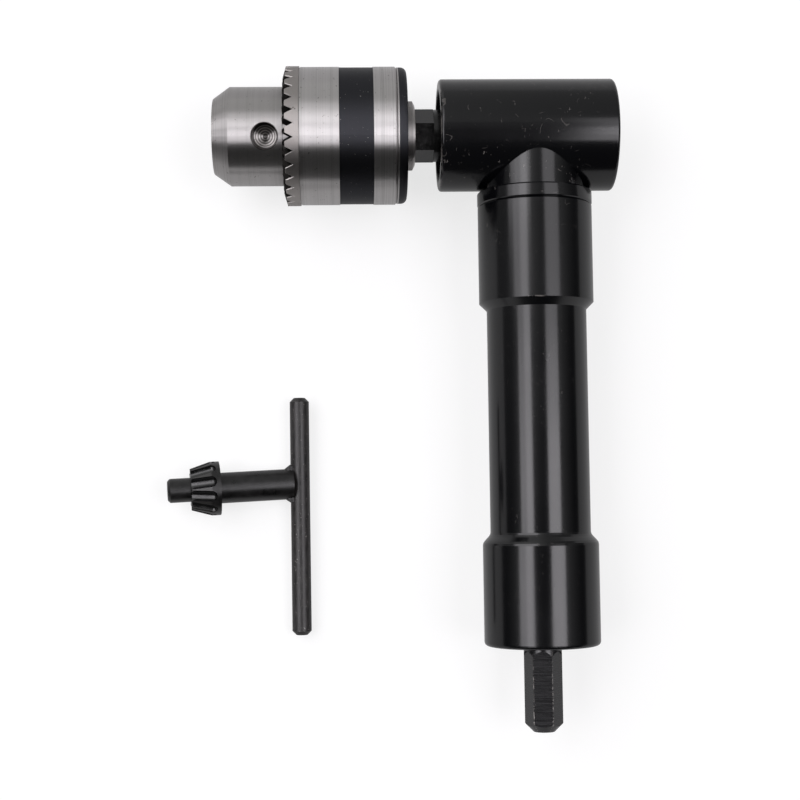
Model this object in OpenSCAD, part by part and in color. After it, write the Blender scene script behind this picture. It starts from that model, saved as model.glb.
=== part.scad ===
// Right angle drill attachment: a hexagonal shank drives a keyed chuck through a pair of
// mitre gears. It lies on its side on the bench, with its chuck key beside it. The origin is
// the centre of the shank's free end, +Y runs up the grip to the head, the chuck points to
// -X and +Z is up.

/* [Input shank] */
// Width of the shank's hexagon across its flats
shank_flats = 8; // [7:0.1:8.6]
// How far the turned bar falls short of the hexagon's sharp corners
shank_corner = 0.04; // [0.02:0.01:0.2]
// Length of the flats, from the free end to where they run out
shank_len = 19.3; // [14:0.1:40]
// Bevel of the shank's free end
shank_bevel = 2; // [0.5:0.1:3]
// Radius of the cutter that mills the flats
flats_cutter_r = 2.6; // [2.6:0.1:5]
// Round neck between the flats and the grip tube
shank_neck = 1.2; // [0.4:0.1:4]
// Angle at which the shank has stopped, from a flat that faces up
shank_turn = 8.4; // [0:0.1:60]

/* [Grip tube] */
// Length of the tube
tube_len = 106.8; // [85:0.1:140]
// Radius of the collar at the tail
tail_collar_r = 14; // [13.2:0.1:17]
// Length of the collar at the tail
tail_collar_len = 24.2; // [15:0.1:32]
// Length of the flare from the waist to the tail collar
tail_flare = 3; // [1:0.1:6]
// Rounding of the tail corner
tail_round = 1; // [0.2:0.1:1.6]
// Radius of the waist
waist_r = 12.12; // [11.4:0.02:13]
// Radius of the collar at the head
head_collar_r = 13.93; // [13:0.01:16]
// Length of the collar at the head
head_collar_len = 23.9; // [14:0.1:30]
// Length of the bevel from the head collar to the waist
head_flare = 1.8; // [0.5:0.1:4]
// Radius of the bore along the waist
tube_bore_r = 9.8; // [6:0.1:10.4]
// Depth of the tail bearing's circlip below the tail face
tail_recess = 1.2; // [0.4:0.1:3]

/* [Head] */
// Radius of the barrel
barrel_r = 13.63; // [12.9:0.01:16]
// From the shafts' crossing to the barrel's open rim
barrel_front = 23.4; // [22:0.1:30]
// From the shafts' crossing to the barrel's closed end
barrel_back = 19.4; // [16:0.1:26]
// Rounding of the barrel's edges
barrel_round = 0.8; // [0.2:0.1:1.5]
// Radius of the branch that leads down to the tube
branch_r = 12.3; // [11:0.1:13.4]
// Radius of the flange ring at the foot of the branch
flange_r = 14; // [12.6:0.1:16]
// Thickness of the flange ring
flange_t = 3.4; // [2:0.1:5]
// From the shafts' crossing to the top of the tube
tube_drop = 17.7; // [17:0.1:24]
// Length of the spigot that the tube screws onto
spigot_len = 11; // [6:0.1:16]
// Radius of the spigot
spigot_r = 11.5; // [11.2:0.05:12]
// Bevel at the joint of the flange ring and the tube
joint_bevel = 0.35; // [0.1:0.05:0.8]
// Depth of the front circlip below the barrel's rim
front_recess = 1.9; // [0.5:0.1:4]

/* [Bearings] */
// Bore of the front bearing
front_bearing_bore = 10; // [9:0.1:11]
// Outer diameter of the front bearing
front_bearing_od = 22; // [21:0.1:23]
// Width of the front bearing
front_bearing_w = 6; // [5:0.1:7]
// Bore of the rear bearing
rear_bearing_bore = 7; // [6.4:0.1:7.4]
// Outer diameter of the rear bearing
rear_bearing_od = 14; // [13:0.1:16]
// Width of the rear bearing
rear_bearing_w = 5; // [4:0.1:6]
// Bore of the neck bearing
neck_bearing_bore = 8; // [7:0.1:8.6]
// Outer diameter of the neck bearing
neck_bearing_od = 19; // [18.6:0.1:20]
// Width of the neck bearing
neck_bearing_w = 6; // [5:0.1:7]
// Bore of the tail bearing
tail_bearing_bore = 8; // [7:0.1:8.6]
// Outer diameter of the tail bearing
tail_bearing_od = 22; // [20:0.1:24]
// Width of the tail bearing
tail_bearing_w = 7; // [5:0.1:8]
// Thickness of the circlips
circlip_t = 1.1; // [0.8:0.1:1.6]

/* [Mitre gears] */
// Module of the gears at their large end
gear_module = 1; // [0.8:0.01:1.02]
// Teeth on each gear
gear_teeth = 16; // [12:1:16]
// Width of the gears' teeth along their slope
gear_face = 4; // [2:0.1:5]
// Metal left off each flank for backlash
gear_backlash = 0.06; // [0.03:0.01:0.15]
// Radius of the gears' hubs
gear_hub_r = 5.4; // [4.6:0.1:6.2]
// Radius of the cross pins that lock the gears
gear_pin_r = 1; // [0.6:0.1:1.4]
// Radius of the spindle inside its gear
spindle_gear_r = 3.4; // [3:0.1:3.5]
// Radius of the input shaft inside its pinion
input_gear_r = 3; // [2:0.1:3.4]

/* [Output spindle] */
// From the barrel's rim to the seat of the chuck
spindle_reach = 5.9; // [4:0.1:12]
// Width of the spindle's hexagon across its flats
spindle_flats = 11.2; // [10.4:0.1:12]
// Length of the spindle's hexagon
spindle_hex_len = 4.6; // [2:0.1:5.5]
// Angle at which the spindle has stopped, from a flat that faces up
spindle_turn = -15; // [-30:1:30]
// Radius of the thread that carries the chuck
spindle_thread_r = 4.7; // [4:0.05:4.9]
// Length of that thread
spindle_thread_len = 14.5; // [8:0.1:18]

/* [Chuck] */
// Length of the chuck from its seat to its nose
chuck_len = 48.9; // [46:0.1:60]
// Radius of the boss that meets the spindle
boss_r = 8.4; // [7:0.1:12]
// Length of the boss
boss_len = 2; // [1:0.1:4]
// Radius of the body's rear flange
rear_flange_r = 16.5; // [15.6:0.1:17]
// Thickness of the rear flange
rear_flange_t = 2.4; // [1.5:0.1:4]
// Radius of the body inside the sleeve
body_r = 14.95; // [14.9:0.01:15.2]
// Radius of the nose
nose_r = 12; // [11.6:0.1:12.8]
// Radius of the nose's end face
nose_tip_r = 9.15; // [7:0.05:10]
// Length of the nose's cone
nose_cone_len = 4; // [2:0.1:7]
// Radius of the bore that the drill bit passes through
bit_bore_r = 5.1; // [5:0.05:5.3]
// Radius of the three sockets for the key
key_socket_r = 3.2; // [3.05:0.01:3.4]
// Depth of the key sockets below the nose's surface
key_socket_depth = 4.9; // [3.5:0.1:5]
// From the chuck's seat to the key sockets
key_socket_at = 36.15; // [35.8:0.05:38]
// Angle at which the chuck has stopped, from a key socket that faces up
chuck_turn = -12.4; // [-60:0.1:60]

/* [Chuck sleeve] */
// Radius of the sleeve
sleeve_r = 16.7; // [16.4:0.05:18]
// Radius of the toothed ring
ring_r = 16.9; // [16.6:0.05:18.4]
// From the chuck's seat to the back of the toothed ring
ring_back = 27.9; // [27:0.1:29.5]
// From the chuck's seat to the ring's rim
ring_front = 31.1; // [30.4:0.1:32]
// Teeth on the ring
ring_teeth = 32; // [24:1:33]
// Depth of the ring's teeth at its rim
ring_tooth_depth = 1.95; // [1.2:0.05:2]
// Half angle of the notches between the teeth
notch_half_angle = 28.5; // [20:0.5:33]
// Slope of the notches' floor, up towards the nose
notch_slope = 14; // [8:0.5:18]
// Metal between the split nut and the ring's notches or back
ring_web = 0.8; // [0.7:0.1:1.6]
// Angle of the sleeve on the body, from a notch in line with a key socket
sleeve_turn = -1.2; // [-5:0.1:5]
// Depth of the black band's groove
band_depth = 0.15; // [0.05:0.01:0.4]
// From the chuck's seat to the band's back edge
band_back = 10.1; // [6:0.1:12]
// Width of the band
band_w = 8.2; // [3:0.1:12]

/* [Jaws] */
// Slope of the jaws to the chuck's axis
jaw_slope = 15; // [14.5:0.1:15.5]
// Radius of the round bar that a jaw is made of
jaw_r = 2.75; // [2.6:0.01:2.85]
// Radius that the jaws grip at rest
grip_r = 2.5; // [2.3:0.05:2.8]
// Radius that the jaws grip when fully open
grip_open_r = 5; // [4.6:0.05:5]
// Radius that the jaws grip when fully closed
grip_closed_r = 0.75; // [0.7:0.05:1.2]
// Length of the gripping land
jaw_land_len = 9; // [6:0.1:10]
// Length of a jaw
jaw_len = 29.3; // [24:0.1:29.6]
// How far the jaws' tips lie below the nose's face at rest
jaw_sink = 0.5; // [0.2:0.1:2]
// Pitch of the screw that moves the jaws
jaw_pitch = 2; // [1.4:0.1:2.4]
// Width of the split nut
nut_w = 5.4; // [4:0.1:5.6]
// Radius of the split nut
nut_r = 14.6; // [14:0.05:14.8]

/* [Chuck key] */
// Length of the key's cross bar
key_bar_len = 59; // [45:0.5:80]
// Radius of the cross bar
key_bar_r = 2.4; // [2:0.05:3]
// From the bar's upper end to the key's shaft
key_bar_above = 21.4; // [12:0.1:30]
// From the bar's axis to the back of the key's gear
key_reach = 20.1; // [14:0.1:30]
// Radius of the key's shaft
key_shaft_r = 3.8; // [3:0.05:4.4]
// From the bar's axis to the end of the shaft that is welded to it
key_shaft_start = 1.9; // [1.6:0.1:2]
// Radius of the key's gear at its land
key_gear_r = 6.65; // [6:0.05:7.2]
// Radius of the gear's small end
key_gear_tip_r = 5.16; // [4.6:0.02:5.6]
// Length of the gear's plain land
key_land_len = 2.2; // [1:0.1:3]
// Length of the gear's cone
key_cone_len = 4.9; // [4:0.1:7]
// Teeth on the key's gear
key_teeth = 11; // [8:1:12]
// Radius of the key's pilot
key_pilot_r = 2.98; // [2.6:0.01:3.02]
// Length of the key's pilot
key_pilot_len = 5.7; // [3:0.1:6]
// Where the key lies, left of the shafts' crossing
key_left = 58.4; // [40:0.1:90]
// Where the key lies, below the shafts' crossing
key_below = 84.7; // [50:0.1:110]
// Angle of the key's shaft on the bench
key_heading = 2.7; // [-20:0.1:20]
// How far the cross bar is off square to the shaft
key_skew = -2.3; // [-4:0.1:4]

/* [Hidden] */
$fn = 96;

// Radial play of a part on its seat
seat_gap = 0.02;
// Radial play of a part that turns on another
run_gap = 0.05;
// Axial play of a part that turns between two others
side_gap = 0.1;
// How far a cut runs past the metal
over = 1;

// Where the shafts cross, from the shank's free end
cross_y = shank_len + shank_neck + tube_len + tube_drop;
// Radius of the round bar that the shank is milled from
shank_r = shank_flats / 2 / cos(30) - shank_corner;
// Half width of a flat, and of the straight part of the cut that makes it
shank_half_flat = shank_flats / 2 * tan(30);
flats_cut_half = (shank_half_flat + flats_cutter_r) / 2;

// Radius of a bearing's balls, and shoulder and cage heights as shares of a ball's radius
ball_share = 0.28;
shoulder_share = 0.5;
cage_share = 0.33;
cage_side_share = 1.35;
// Distance between balls as a share of their diameter
ball_spacing_share = 1.4;
// Play of a ball in its races, and in its cage
race_gap = 0.03;
pocket_gap = 0.12;
// Bevel of the races' corners, and thickness of a seal
race_bevel = 0.3;
seal_t = 0.4;

// Distances from the shafts' crossing along the output shaft
front_seat = barrel_front - front_recess - circlip_t;
front_back = front_seat - front_bearing_w;
rear_wall = 8;
rear_front = 9;
rear_end = rear_front + rear_bearing_w;
rear_pocket_gap = 0.4;
chuck_seat = barrel_front + spindle_reach;
// Distances from the shafts' crossing along the input shaft
neck_seat = 14;
neck_end = neck_seat + neck_bearing_w;
tube_end = tube_drop + tube_len;
tail_end = tube_end - tail_recess - circlip_t;
tail_seat = tail_end - tail_bearing_w;
flats_top = tube_end + shank_neck;
shank_end = flats_top + shank_len;

// Depth of a circlip's groove, its width and its ears' reach as shares of the bore's radius
groove_depth = 0.55;
ring_width_share = 0.13;
ear_share = 0.16;
ear_hole_share = 0.075;
ring_gap_angle = 24;
ear_angle = 17;

// Shape of the mitre gears: developed on their back cones, as spur gears of more teeth
gear_pressure = 20;
gear_pitch_r = gear_module * gear_teeth / 2;
gear_dedendum = 1.25 * gear_module;
dev_r = gear_pitch_r / cos(45);
dev_base_r = dev_r * cos(gear_pressure);
dev_root_r = dev_r - gear_dedendum;
dev_tip_r = dev_r + gear_module;
dev_half = 90 * cos(45) / gear_teeth - gear_backlash / dev_r * 180 / PI;
// Where the flank's points lie between its base and its tip
flank_shares = [0, 0.25, 0.5, 0.75, 1];
gear_small_scale = 1 - gear_face / dev_r;
gear_back = gear_pitch_r + gear_dedendum * sin(45);
gear_small = gear_back * gear_small_scale;
pinion_clear_r = gear_pitch_r + gear_module;
pinion_front = gear_small - 1.5 * gear_module;
gear_pin_at = (gear_back + front_back) / 2;
pinion_pin_at = (gear_back + neck_seat) / 2;

// Spindle: its shoulder behind the hexagon, its spacer and its bevels
spindle_collar_r = min(spindle_flats / 2 / cos(30), front_bearing_bore / 2 + 1.35);
spindle_bevel = 0.8;
spacer_wall = 0.75;
shaft_groove_depth = 0.4;
shaft_ring_w = 1.5;
shaft_ring_t = 0.9;

// Chuck: depths of its bores, and the bevels of its edges
chuck_thread_depth = spindle_thread_len + 1;
thread_gap = 0.06;
bit_bore_len = 23;
socket_point_slope = 20;
boss_bevel = 0.55;
boss_bevel_in = 1.1;
rear_flange_round = 1.4;
sleeve_back = boss_len + rear_flange_t + side_gap;
sleeve_bevel = 0.35;
sleeve_bore_r = body_r + run_gap;
ring_inner_r = nose_r + run_gap;
// Where the teeth's tips end, as a share of the way from the ring's bore to its rim
ring_flat_share = 0.46;
ring_flat_r = ring_inner_r + (ring_r - ring_inner_r) * ring_flat_share;
ring_line_w = 0.25;
ring_line_depth = 0.2;
// The tips of the teeth slope towards the point where the key's axis crosses the chuck's
ring_top = key_socket_at - (key_socket_at - ring_front) * ring_flat_r / ring_r;
notch_h = ring_tooth_depth + ring_top - ring_front + over;

// Jaws: one line carries each jaw, its bore and the nut's cone
nut_front = min(ring_front - ring_tooth_depth, ring_back) - ring_web;
nut_back = nut_front - nut_w;
jaw_side_r = jaw_r / cos(jaw_slope);
jaw_tip_z = chuck_len - jaw_sink;
jaw_tip_at = grip_r + jaw_side_r - jaw_land_len * tan(jaw_slope);
jaw_tip_r = jaw_tip_at + jaw_side_r * 0.6;
jaw_gap = 0.06;
jaw_open_shift = grip_open_r - grip_r;
jaw_close_shift = grip_r - grip_closed_r;
jaw_back_r = sleeve_bore_r - 0.2;
jaw_tooth_depth = 0.6;
jaw_teeth = 8;
groove_play = 0.3;
nut_play = 0.12;
nut_split = 0.15;
thread_depth = 0.5;
nut_threads = 4;
jaw_turns = [60, 180, 300];

// Key: it lies on its shaft's end and the back of its gear, and rolls until the bar's long end
// touches the bench too
bench_z = -max(ring_r, sleeve_r);
key_tilt = atan2(key_gear_r - key_shaft_r, key_reach - key_shaft_start);
key_lift = key_shaft_r * cos(key_tilt) - key_shaft_start * sin(key_tilt);
key_roll = asin((key_lift - key_bar_r) / (key_bar_len - key_bar_above));
// The weld's length, its reach to each side and the roundness of its bead
key_weld = 1.4;
key_weld_r = key_shaft_r + 1;
key_bead_r = 1.7;
// Bevels of the bar's and the pilot's ends, and the round cutter of the gear's gullets
key_bar_bevel = 1;
key_pilot_bevel = 0.6;
key_gullet_r = 1.4;
key_gullet_run = 1;

black = [0.13, 0.13, 0.14];
dark = [0.2, 0.2, 0.21];
steel = [0.62, 0.61, 0.62];
bright = [0.78, 0.78, 0.8];
bronze = [0.72, 0.56, 0.32];

// Frames: both shafts run outwards along +Z from the crossing
module on_output() translate([0, cross_y, 0]) rotate([0, -90, 0]) children();
module on_input() translate([0, cross_y, 0]) rotate([90, 0, 0]) children();
module on_chuck() on_output() translate([0, 0, chuck_seat]) rotate(chuck_turn) children();

// Solid of revolution from points of radius and height
module turned(points) rotate_extrude() polygon(points);

// Points of an arc, from one angle to another
arc_steps = 6;
function arc(centre_r, centre_z, r, from, to) = [
    for (i = [0 : arc_steps])
        let (a = from + (to - from) * i / arc_steps)
        [centre_r + r * cos(a), centre_z + r * sin(a)]
];

// Points of an S-shaped flare between two radii
function flare(r_from, z_from, r_to, z_to) = [
    for (i = [0 : arc_steps])
        let (t = i / arc_steps)
        [r_from + (r_to - r_from) * (1 - cos(180 * t)) / 2, z_from + (z_to - z_from) * t]
];

// Hexagonal prism with a flat that faces +X
module hexagon(flats, h) rotate(30) cylinder(h = h, r = flats / 2 / cos(30), $fn = 6);

// Head
module head_housing() color(black) difference() {
    union() {
        on_output() turned(concat(
            [[0, -barrel_back]],
            arc(barrel_r - barrel_round, barrel_round - barrel_back, barrel_round, -90, 0),
            arc(barrel_r - barrel_round, barrel_front - barrel_round, barrel_round, 0, 90),
            [[0, barrel_front]]
        ));
        on_input() turned([
            [0, 0],
            [branch_r, 0],
            [branch_r, tube_drop - flange_t],
            [flange_r - joint_bevel, tube_drop - flange_t],
            [flange_r, tube_drop - flange_t + joint_bevel],
            [flange_r, tube_drop - joint_bevel],
            [flange_r - joint_bevel, tube_drop],
            [spigot_r, tube_drop],
            [spigot_r, tube_drop + spigot_len - joint_bevel],
            [spigot_r - joint_bevel, tube_drop + spigot_len],
            [0, tube_drop + spigot_len]
        ]);
    }
    on_output() turned([
        [0, -rear_end - rear_pocket_gap],
        [rear_bearing_od / 2 + seat_gap, -rear_end - rear_pocket_gap],
        [rear_bearing_od / 2 + seat_gap, -rear_wall],
        [front_bearing_od / 2 - race_bevel, -rear_wall],
        [front_bearing_od / 2 - race_bevel, front_back],
        [front_bearing_od / 2 + seat_gap, front_back],
        [front_bearing_od / 2 + seat_gap, front_seat],
        [front_bearing_od / 2 + groove_depth, front_seat],
        [front_bearing_od / 2 + groove_depth, front_seat + circlip_t],
        [front_bearing_od / 2 + seat_gap, front_seat + circlip_t],
        [front_bearing_od / 2 + seat_gap, barrel_front - joint_bevel],
        [front_bearing_od / 2 + joint_bevel, barrel_front],
        [front_bearing_od / 2 + joint_bevel, barrel_front + over],
        [0, barrel_front + over]
    ]);
    on_input() turned([
        [0, 0],
        [pinion_clear_r, 0],
        [pinion_clear_r, neck_seat],
        [neck_bearing_od / 2 + seat_gap, neck_seat],
        [neck_bearing_od / 2 + seat_gap, neck_end],
        [neck_bearing_od / 2 + groove_depth, neck_end],
        [neck_bearing_od / 2 + groove_depth, neck_end + circlip_t],
        [neck_bearing_od / 2 + seat_gap, neck_end + circlip_t],
        [neck_bearing_od / 2 + seat_gap, tube_drop + spigot_len + over],
        [0, tube_drop + spigot_len + over]
    ]);
}

// Grip tube, screwed onto the spigot
module grip_tube() color(black) on_input() turned(concat(
    [
        [spigot_r + seat_gap, tube_drop],
        [head_collar_r - joint_bevel, tube_drop],
        [head_collar_r, tube_drop + joint_bevel],
        [head_collar_r, tube_drop + head_collar_len],
        [waist_r, tube_drop + head_collar_len + head_flare]
    ],
    flare(waist_r, tube_end - tail_collar_len - tail_flare, tail_collar_r, tube_end - tail_collar_len),
    arc(tail_collar_r - tail_round, tube_end - tail_round, tail_round, 0, 90),
    [
        [tail_bearing_od / 2 + seat_gap, tube_end],
        [tail_bearing_od / 2 + seat_gap, tail_end + circlip_t],
        [tail_bearing_od / 2 + groove_depth, tail_end + circlip_t],
        [tail_bearing_od / 2 + groove_depth, tail_end],
        [tail_bearing_od / 2 + seat_gap, tail_end],
        [tail_bearing_od / 2 + seat_gap, tail_seat],
        [tube_bore_r, tail_seat],
        [tube_bore_r, tube_drop + spigot_len + side_gap],
        [spigot_r + seat_gap, tube_drop + spigot_len + side_gap]
    ]
));

// Circlip that springs outwards into a groove, with two eared ends
module bore_circlip(bore_r) {
    outer_r = bore_r + groove_depth - seat_gap * 2;
    ring_w = bore_r * ring_width_share + groove_depth;
    ear_r = bore_r * ear_share;
    ear_at = outer_r - ring_w - ear_r / 2;
    linear_extrude(circlip_t - seat_gap) difference() {
        union() {
            difference() {
                circle(outer_r);
                circle(outer_r - ring_w);
                polygon([
                    [0, 0],
                    [2 * outer_r * cos(ring_gap_angle / 2), 2 * outer_r * sin(ring_gap_angle / 2)],
                    [2 * outer_r * cos(ring_gap_angle / 2), -2 * outer_r * sin(ring_gap_angle / 2)]
                ]);
            }
            for (side = [-1, 1]) rotate(side * ear_angle) translate([ear_at, 0]) circle(ear_r);
        }
        for (side = [-1, 1])
            rotate(side * ear_angle) translate([ear_at, 0]) circle(bore_r * ear_hole_share);
    }
}

module front_circlip() color(dark)
    on_output() translate([0, 0, front_seat]) bore_circlip(front_bearing_od / 2);

module neck_circlip() color(dark)
    on_input() translate([0, 0, neck_end]) bore_circlip(neck_bearing_od / 2);

module tail_circlip() color(dark)
    on_input() translate([0, 0, tail_end]) bore_circlip(tail_bearing_od / 2);

// Ball bearings, each from its bore, outer diameter and width
function ball_r(bore, od) = (od - bore) / 2 * ball_share;
function ball_ring_r(bore, od) = (od + bore) / 4;
function ball_count(bore, od) = floor(PI * ball_ring_r(bore, od) / ball_r(bore, od) / ball_spacing_share);

module outer_race(bore, od, w) {
    land_r = ball_ring_r(bore, od) + ball_r(bore, od) * shoulder_share;
    difference() {
        turned([
            [land_r, 0],
            [od / 2 - race_bevel, 0],
            [od / 2, race_bevel],
            [od / 2, w - race_bevel],
            [od / 2 - race_bevel, w],
            [land_r, w]
        ]);
        translate([0, 0, w / 2]) rotate_extrude()
            translate([ball_ring_r(bore, od), 0]) circle(ball_r(bore, od) + race_gap);
    }
}

module inner_race(bore, od, w) {
    land_r = ball_ring_r(bore, od) - ball_r(bore, od) * shoulder_share;
    difference() {
        turned([
            [bore / 2 + race_bevel, 0],
            [land_r, 0],
            [land_r, w],
            [bore / 2 + race_bevel, w],
            [bore / 2, w - race_bevel],
            [bore / 2, race_bevel]
        ]);
        translate([0, 0, w / 2]) rotate_extrude()
            translate([ball_ring_r(bore, od), 0]) circle(ball_r(bore, od) + race_gap);
    }
}

// One child on every ball's centre, with +Z outwards
module at_balls(bore, od, w) translate([0, 0, w / 2])
    for (i = [1 : ball_count(bore, od)]) rotate(360 * i / ball_count(bore, od))
        translate([ball_ring_r(bore, od), 0, 0]) rotate([0, 90, 0]) children();

module balls(bore, od, w) at_balls(bore, od, w) sphere(ball_r(bore, od), $fn = 32);

module cage(bore, od, w) difference() {
    half_t = ball_r(bore, od) * cage_share;
    half_h = ball_r(bore, od) * cage_side_share;
    turned([
        [ball_ring_r(bore, od) - half_t, w / 2 - half_h],
        [ball_ring_r(bore, od) + half_t, w / 2 - half_h],
        [ball_ring_r(bore, od) + half_t, w / 2 + half_h],
        [ball_ring_r(bore, od) - half_t, w / 2 + half_h]
    ]);
    at_balls(bore, od, w)
        cylinder(h = 4 * half_t, r = ball_r(bore, od) + pocket_gap, center = true);
}

// Seal pressed into the outer race at the bearing's far side
module seal(bore, od, w) {
    inner_r = ball_ring_r(bore, od) - ball_r(bore, od) * shoulder_share + run_gap;
    outer_r = ball_ring_r(bore, od) + ball_r(bore, od) * shoulder_share - seat_gap;
    turned([
        [inner_r, w - seal_t],
        [outer_r, w - seal_t],
        [outer_r, w - seat_gap],
        [inner_r, w - seat_gap]
    ]);
}

// Each bearing's place, with its pieces
module at_front() on_output() translate([0, 0, front_back]) children();
module at_rear() on_output() translate([0, 0, -rear_end]) children();
module at_neck() on_input() translate([0, 0, neck_seat]) children();
module at_tail() on_input() translate([0, 0, tail_seat]) children();

module front_outer_race() color(bright)
    at_front() outer_race(front_bearing_bore, front_bearing_od, front_bearing_w);
module front_inner_race() color(bright)
    at_front() inner_race(front_bearing_bore, front_bearing_od, front_bearing_w);
module front_balls() color(steel)
    at_front() balls(front_bearing_bore, front_bearing_od, front_bearing_w);
module front_cage() color(bronze)
    at_front() cage(front_bearing_bore, front_bearing_od, front_bearing_w);
module front_seal() color(dark)
    at_front() seal(front_bearing_bore, front_bearing_od, front_bearing_w);

module rear_outer_race() color(bright)
    at_rear() outer_race(rear_bearing_bore, rear_bearing_od, rear_bearing_w);
module rear_inner_race() color(bright)
    at_rear() inner_race(rear_bearing_bore, rear_bearing_od, rear_bearing_w);
module rear_balls() color(steel)
    at_rear() balls(rear_bearing_bore, rear_bearing_od, rear_bearing_w);
module rear_cage() color(bronze)
    at_rear() cage(rear_bearing_bore, rear_bearing_od, rear_bearing_w);

module neck_outer_race() color(bright)
    at_neck() outer_race(neck_bearing_bore, neck_bearing_od, neck_bearing_w);
module neck_inner_race() color(bright)
    at_neck() inner_race(neck_bearing_bore, neck_bearing_od, neck_bearing_w);
module neck_balls() color(steel)
    at_neck() balls(neck_bearing_bore, neck_bearing_od, neck_bearing_w);
module neck_cage() color(bronze)
    at_neck() cage(neck_bearing_bore, neck_bearing_od, neck_bearing_w);

module tail_outer_race() color(bright)
    at_tail() outer_race(tail_bearing_bore, tail_bearing_od, tail_bearing_w);
module tail_inner_race() color(bright)
    at_tail() inner_race(tail_bearing_bore, tail_bearing_od, tail_bearing_w);
module tail_balls() color(steel)
    at_tail() balls(tail_bearing_bore, tail_bearing_od, tail_bearing_w);
module tail_cage() color(bronze)
    at_tail() cage(tail_bearing_bore, tail_bearing_od, tail_bearing_w);
module tail_seal() color(dark)
    at_tail() seal(tail_bearing_bore, tail_bearing_od, tail_bearing_w);

// Mitre gear with its apex at the origin and a tooth at angle zero
function involute(r) = let (a = acos(dev_base_r / r)) tan(a) * 180 / PI - a;
function flank_half(r) = (dev_half + involute(dev_r) - involute(max(r, dev_base_r))) / cos(45);
function gear_point(r, a) = [r * cos(45) * cos(a), r * cos(45) * sin(a), 2 * gear_pitch_r - r * cos(45)];
flank_radii = concat(
    [min(dev_root_r, dev_base_r)],
    [for (s = flank_shares) max(dev_root_r, dev_base_r) + (dev_tip_r - max(dev_root_r, dev_base_r)) * s]
);
flank_last = len(flank_radii) - 1;
gear_outline = [
    for (t = [0 : gear_teeth - 1], side = [-1, 1], i = [0 : flank_last])
        let (r = flank_radii[side < 0 ? i : flank_last - i])
        gear_point(r, 360 * t / gear_teeth + side * flank_half(r))
];
outline_len = len(gear_outline);

module gear_teeth_solid() polyhedron(
    points = concat(
        gear_outline,
        gear_small_scale * gear_outline,
        [[0, 0, gear_back], [0, 0, gear_small]]
    ),
    faces = [
        for (i = [0 : outline_len - 1])
            let (j = (i + 1) % outline_len)
            for (face = [
                [i, j, outline_len + j],
                [i, outline_len + j, outline_len + i],
                [2 * outline_len, j, i],
                [2 * outline_len + 1, outline_len + i, outline_len + j]
            ]) face
    ]
);

// Gear with its hub, bore, pin hole and a flat round the bore that a spacer or collar meets
module pinned_gear(bore_r, hub_end, pin_at) difference() {
    union() {
        gear_teeth_solid();
        translate([0, 0, gear_pitch_r]) cylinder(h = hub_end - gear_pitch_r, r = gear_hub_r);
    }
    translate([0, 0, -over]) cylinder(h = hub_end + 2 * over, r = bore_r + seat_gap);
    translate([0, 0, -over]) cylinder(h = gear_small + over, r = bore_r + spacer_wall + seat_gap);
    cross_bar(pin_at, gear_pin_r + seat_gap, over);
}

// Round bar across a hub, for its pin and for the pin's hole
module cross_bar(at, r, past = 0) translate([0, 0, at]) rotate([0, 90, 0])
    cylinder(h = 2 * (gear_hub_r + past), r = r, center = true);

module output_gear() color(steel)
    on_output() rotate(-90) pinned_gear(spindle_gear_r, front_back, gear_pin_at);

module output_gear_pin() color(bright)
    on_output() rotate(-90) cross_bar(gear_pin_at, gear_pin_r);

// The pinion stands half a tooth round, in mesh
pinion_turn = 180 + 180 / gear_teeth;

module input_pinion() color(steel)
    on_input() rotate(pinion_turn) pinned_gear(input_gear_r, neck_seat, pinion_pin_at);

module input_pinion_pin() color(bright)
    on_input() rotate(pinion_turn) cross_bar(pinion_pin_at, gear_pin_r);

// Output spindle: rear journal, gear seat, front journal, hexagon and chuck thread
module output_spindle() color(dark) on_output() difference() {
    union() {
        turned([
            [0, -rear_end],
            [spindle_gear_r - race_bevel, -rear_end],
            [spindle_gear_r, race_bevel - rear_end],
            [spindle_gear_r, front_back],
            [front_bearing_bore / 2 - seat_gap, front_back],
            [front_bearing_bore / 2 - seat_gap, front_seat],
            [spindle_collar_r, front_seat],
            [spindle_collar_r, chuck_seat - spindle_hex_len],
            [spindle_thread_r, chuck_seat - spindle_hex_len],
            [spindle_thread_r, chuck_seat + spindle_thread_len - spindle_bevel],
            [spindle_thread_r - spindle_bevel, chuck_seat + spindle_thread_len],
            [0, chuck_seat + spindle_thread_len]
        ]);
        rotate(spindle_turn) translate([0, 0, chuck_seat - spindle_hex_len])
            hexagon(spindle_flats, spindle_hex_len);
    }
    rotate(-90) cross_bar(gear_pin_at, gear_pin_r + seat_gap, over);
}

// Spacer that holds the output gear off the rear bearing
module spindle_spacer() color(steel) on_output() turned([
    [spindle_gear_r + seat_gap, -rear_front],
    [spindle_gear_r + spacer_wall, -rear_front],
    [spindle_gear_r + spacer_wall, gear_small],
    [spindle_gear_r + seat_gap, gear_small]
]);

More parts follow.
